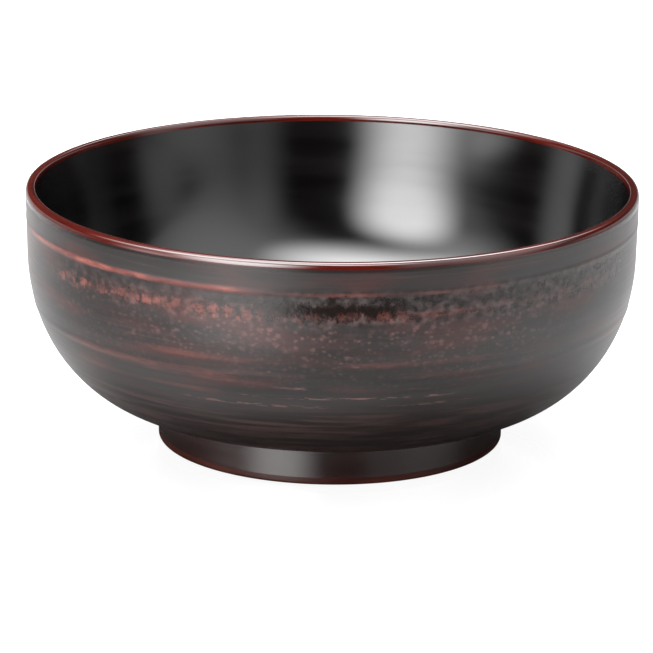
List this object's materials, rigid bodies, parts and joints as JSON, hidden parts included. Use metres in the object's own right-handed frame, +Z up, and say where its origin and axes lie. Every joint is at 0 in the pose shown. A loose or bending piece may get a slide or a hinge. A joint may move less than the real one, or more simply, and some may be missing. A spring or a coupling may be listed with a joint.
{
  "type": "lacquer soup bowl",
  "caption": "Wide round soup bowl of turned wood with an upright wall, full belly and ring foot; dark brushed lacquer outside, black gloss inside and a red lip.",
  "frame": {"origin": "centre of the plane that the foot stands on", "axes": "+Z up along the axis of the bowl, from the foot to the lip; X and Y lie in the standing plane, with -Y towards the viewer of the picture"},
  "size_m": [0.15, 0.15, 0.0637],
  "materials": {
    "core_wood": "turned, sealed under lacquer",
    "undercoat_red": "vermilion lacquer, satin",
    "outer_dark": "brushed dark lacquer, half gloss, red showing through",
    "rim_red": "red lacquer, gloss",
    "inner_black": "black lacquer, high gloss",
    "foot_dark": "brown-black lacquer, gloss",
    "foot_edge_red": "red-brown lacquer, worn satin",
    "recess_dark": "black lacquer, half gloss"
  },
  "bodies": {
    "root": {"turned_core": "core_wood", "red_undercoat": "undercoat_red", "outer_topcoat": "outer_dark", "rim_coat": "rim_red", "inner_coat": "inner_black", "foot_wall_coat": "foot_dark", "foot_edge_coat": "foot_edge_red", "foot_recess_coat": "recess_dark"}
  },
  "joints": []
}
